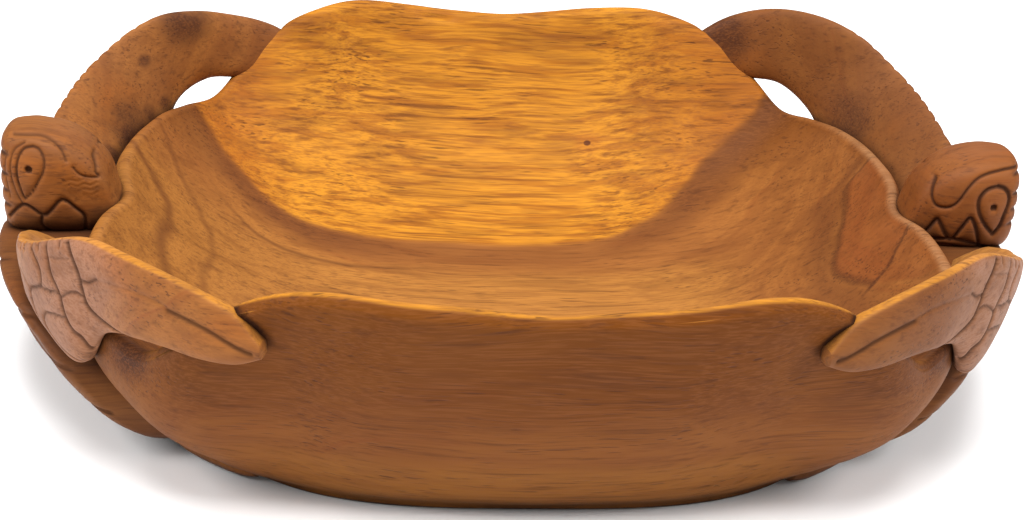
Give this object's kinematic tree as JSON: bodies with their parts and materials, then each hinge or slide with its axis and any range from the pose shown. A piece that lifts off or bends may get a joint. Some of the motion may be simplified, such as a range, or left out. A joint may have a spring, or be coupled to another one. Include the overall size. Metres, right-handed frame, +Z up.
{
  "type": "carved wooden fruit bowl",
  "caption": "Wide carved wooden bowl with a wavy rim, a sea turtle hugging each end and open gaps under the arched front flippers.",
  "frame": {"origin": "on the table under the middle of the bowl, at the centre of the flat foot", "axes": "+X from the middle towards the right turtle's head, +Y away from the viewer of the picture, +Z up"},
  "size_m": [0.3582, 0.2892, 0.0957],
  "materials": {
    "bowl_wood": "hand rubbed, satin",
    "shell_wood": "hand rubbed, satin",
    "head_wood": "hand rubbed, satin",
    "flipper_wood": "hand rubbed, satin"
  },
  "bodies": {
    "root": {"bowl": "bowl_wood", "left_shell": "shell_wood", "left_head": "head_wood", "left_front_fore_flipper": "flipper_wood", "left_front_hind_flipper": "flipper_wood", "left_back_fore_flipper": "flipper_wood", "left_back_hind_flipper": "flipper_wood", "right_shell": "shell_wood", "right_head": "head_wood", "right_front_fore_flipper": "flipper_wood", "right_front_hind_flipper": "flipper_wood", "right_back_fore_flipper": "flipper_wood", "right_back_hind_flipper": "flipper_wood"}
  },
  "joints": []
}
